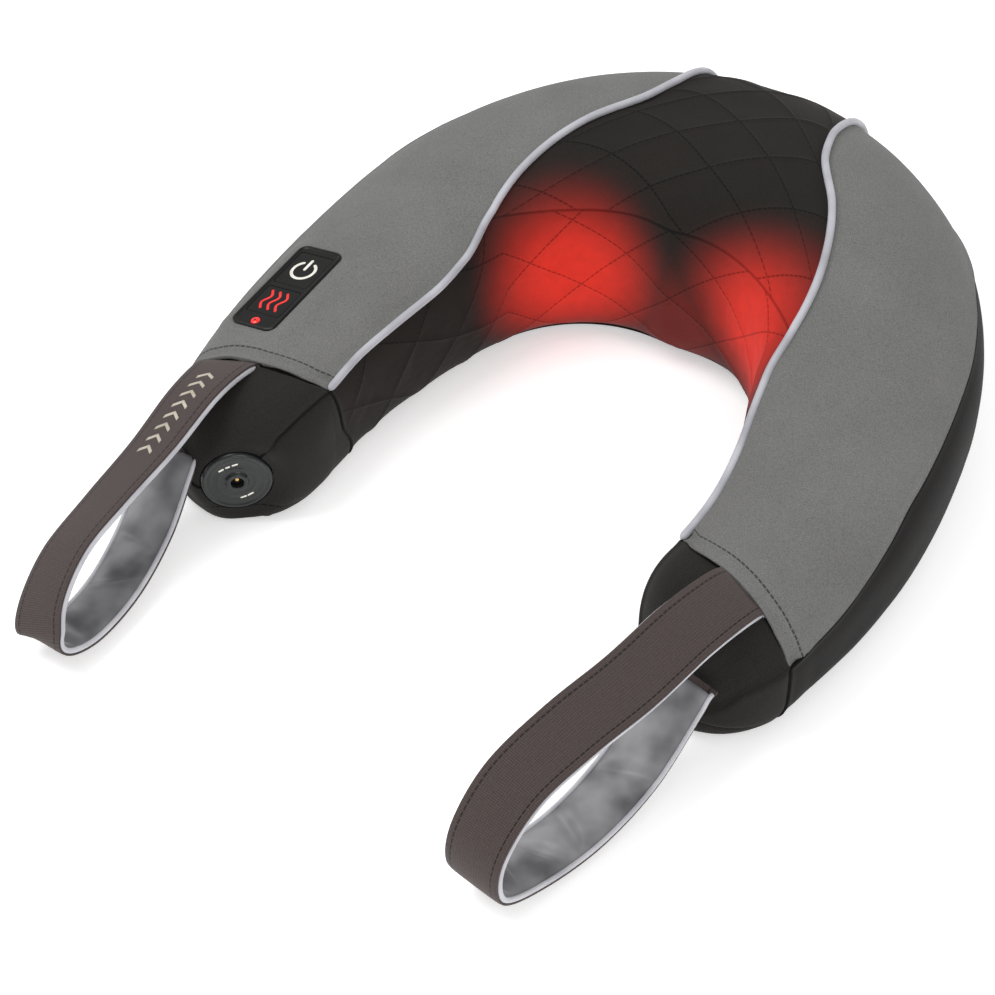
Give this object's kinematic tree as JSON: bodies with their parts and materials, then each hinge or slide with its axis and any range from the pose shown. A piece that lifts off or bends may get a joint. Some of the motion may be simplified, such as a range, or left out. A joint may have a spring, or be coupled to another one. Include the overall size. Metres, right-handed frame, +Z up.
{
  "type": "shiatsu neck massager",
  "caption": "U-shaped cushion massager with a geared pair of rotating massage heads, heat lenses, a control panel, a power inlet and hand strap loops.",
  "frame": {"origin": "on the floor plane under the middle of the whole object, straps included", "axes": "+Z up out of the cushion's upper side, +Y towards the closed neck end of the U, +X to the right arm"},
  "size_m": [0.3541, 0.4898, 0.1111],
  "materials": {
    "grey_knit": "matt knitted neoprene-like fabric with a fine fleck",
    "quilted_fabric": "soft black fabric, stitched in diamonds",
    "plain_fabric": "plain black knitted fabric",
    "piping": "light grey corded satin piping",
    "webbing": "ribbed brown-grey webbing",
    "satin": "soft light grey lining with a sheen",
    "foam": "matt open-cell foam",
    "gloss_panel": "glossy black",
    "housing": "matt dark plastic",
    "gear_plastic": "natural acetal",
    "node_plastic": "smooth grey plastic",
    "red_lens": "red translucent lens",
    "board": "green lacquered board",
    "lead": "black insulated lead",
    "steel": "plated steel",
    "brass": "machined brass"
  },
  "bodies": {
    "cushion": {"base_panel": "plain_fabric", "outer_wall_panel": "plain_fabric", "quilted_inner_wall": "quilted_fabric", "quilted_top_panel": "quilted_fabric", "left_grey_panel": "grey_knit", "right_grey_panel": "grey_knit", "left_end_panel": "plain_fabric", "right_end_panel": "plain_fabric", "left_nose_gusset": "plain_fabric", "right_nose_gusset": "plain_fabric", "left_piping": "piping", "right_piping": "piping", "neck_foam_core": "foam", "left_arm_foam_core": "foam", "right_arm_foam_core": "foam", "control_bezel": "gloss_panel", "control_tray": "housing", "control_board": "board", "heat_indicator_lens": "red_lens", "jack_bezel": "gloss_panel", "jack_socket": "housing", "jack_contact_pin": "brass", "inlet_lead": "lead", "drive_lead": "lead", "front_gear_plate": "housing", "rear_gear_plate": "housing", "motor_can": "steel", "shaft_bearing": "brass", "left_upper_screw": "steel", "left_lower_screw": "steel", "right_upper_screw": "steel", "right_lower_screw": "steel", "left_pinion_axle": "steel", "right_pinion_axle": "steel", "left_head_axle": "steel", "right_head_axle": "steel", "left_heat_lens": "red_lens", "right_heat_lens": "red_lens"},
    "power_key": {"power_button": "gloss_panel"},
    "heat_key": {"heat_button": "gloss_panel"},
    "left_head": {"left_head_gear": "gear_plastic", "left_rotor_plate": "housing", "left_massage_node_1": "node_plastic", "left_massage_node_2": "node_plastic"},
    "right_head": {"right_head_gear": "gear_plastic", "right_rotor_plate": "housing", "right_massage_node_1": "node_plastic", "right_massage_node_2": "node_plastic"},
    "left_reducer": {"left_worm_wheel": "gear_plastic", "left_pinion": "gear_plastic"},
    "right_reducer": {"right_worm_wheel": "gear_plastic", "right_pinion": "gear_plastic"},
    "motor_rotor": {"motor_shaft": "steel", "worm": "brass"},
    "left_strap": {"left_strap_webbing": "webbing", "left_strap_lining": "satin"},
    "right_strap": {"right_strap_webbing": "webbing", "right_strap_lining": "satin"}
  },
  "joints": [
    {"name": "power_press", "type": "slide", "parent": "cushion", "child": "power_key", "axis": [0.1749, 0.0833, -0.9811], "range_m": [0, 0.001], "stiffness_N_per_m": 350},
    {"name": "heat_press", "type": "slide", "parent": "cushion", "child": "heat_key", "axis": [0.1749, 0.0833, -0.9811], "range_m": [0, 0.001], "stiffness_N_per_m": 350},
    {"name": "left_head_spin", "type": "hinge", "parent": "cushion", "child": "left_head", "pos_m": [-0.06, 0.12472, 0.051], "axis": [0.4226, -0.9063, 0], "continuous": true},
    {"name": "right_head_spin", "type": "hinge", "parent": "cushion", "child": "right_head", "pos_m": [0.06, 0.12472, 0.051], "axis": [-0.4226, -0.9063, 0], "continuous": true},
    {"name": "left_reducer_spin", "type": "hinge", "parent": "cushion", "child": "left_reducer", "pos_m": [-0.02248, 0.14222, 0.051], "axis": [0.4226, -0.9063, 0], "continuous": true},
    {"name": "right_reducer_spin", "type": "hinge", "parent": "cushion", "child": "right_reducer", "pos_m": [0.02248, 0.14222, 0.051], "axis": [-0.4226, -0.9063, 0], "continuous": true},
    {"name": "motor_spin", "type": "hinge", "parent": "cushion", "child": "motor_rotor", "pos_m": [0, 0.1527, 0.051], "axis": [0, 0, 1], "continuous": true},
    {"name": "left_strap_lift", "type": "hinge", "parent": "cushion", "child": "left_strap", "pos_m": [-0.1424, -0.0679, 0.064], "axis": [-0.9976, -0.0698, 0], "range_deg": [0, 40]},
    {"name": "right_strap_lift", "type": "hinge", "parent": "cushion", "child": "right_strap", "pos_m": [0.1345, -0.0751, 0.0645], "axis": [-0.9813, 0.1925, 0], "range_deg": [0, 40]}
  ],
  "couplings": [
    {"joint": "right_head_spin", "follows": "left_head_spin", "ratio": -1},
    {"joint": "left_reducer_spin", "follows": "left_head_spin", "ratio": -3.6},
    {"joint": "right_reducer_spin", "follows": "left_head_spin", "ratio": 3.6},
    {"joint": "motor_spin", "follows": "left_head_spin", "ratio": 79.2}
  ]
}
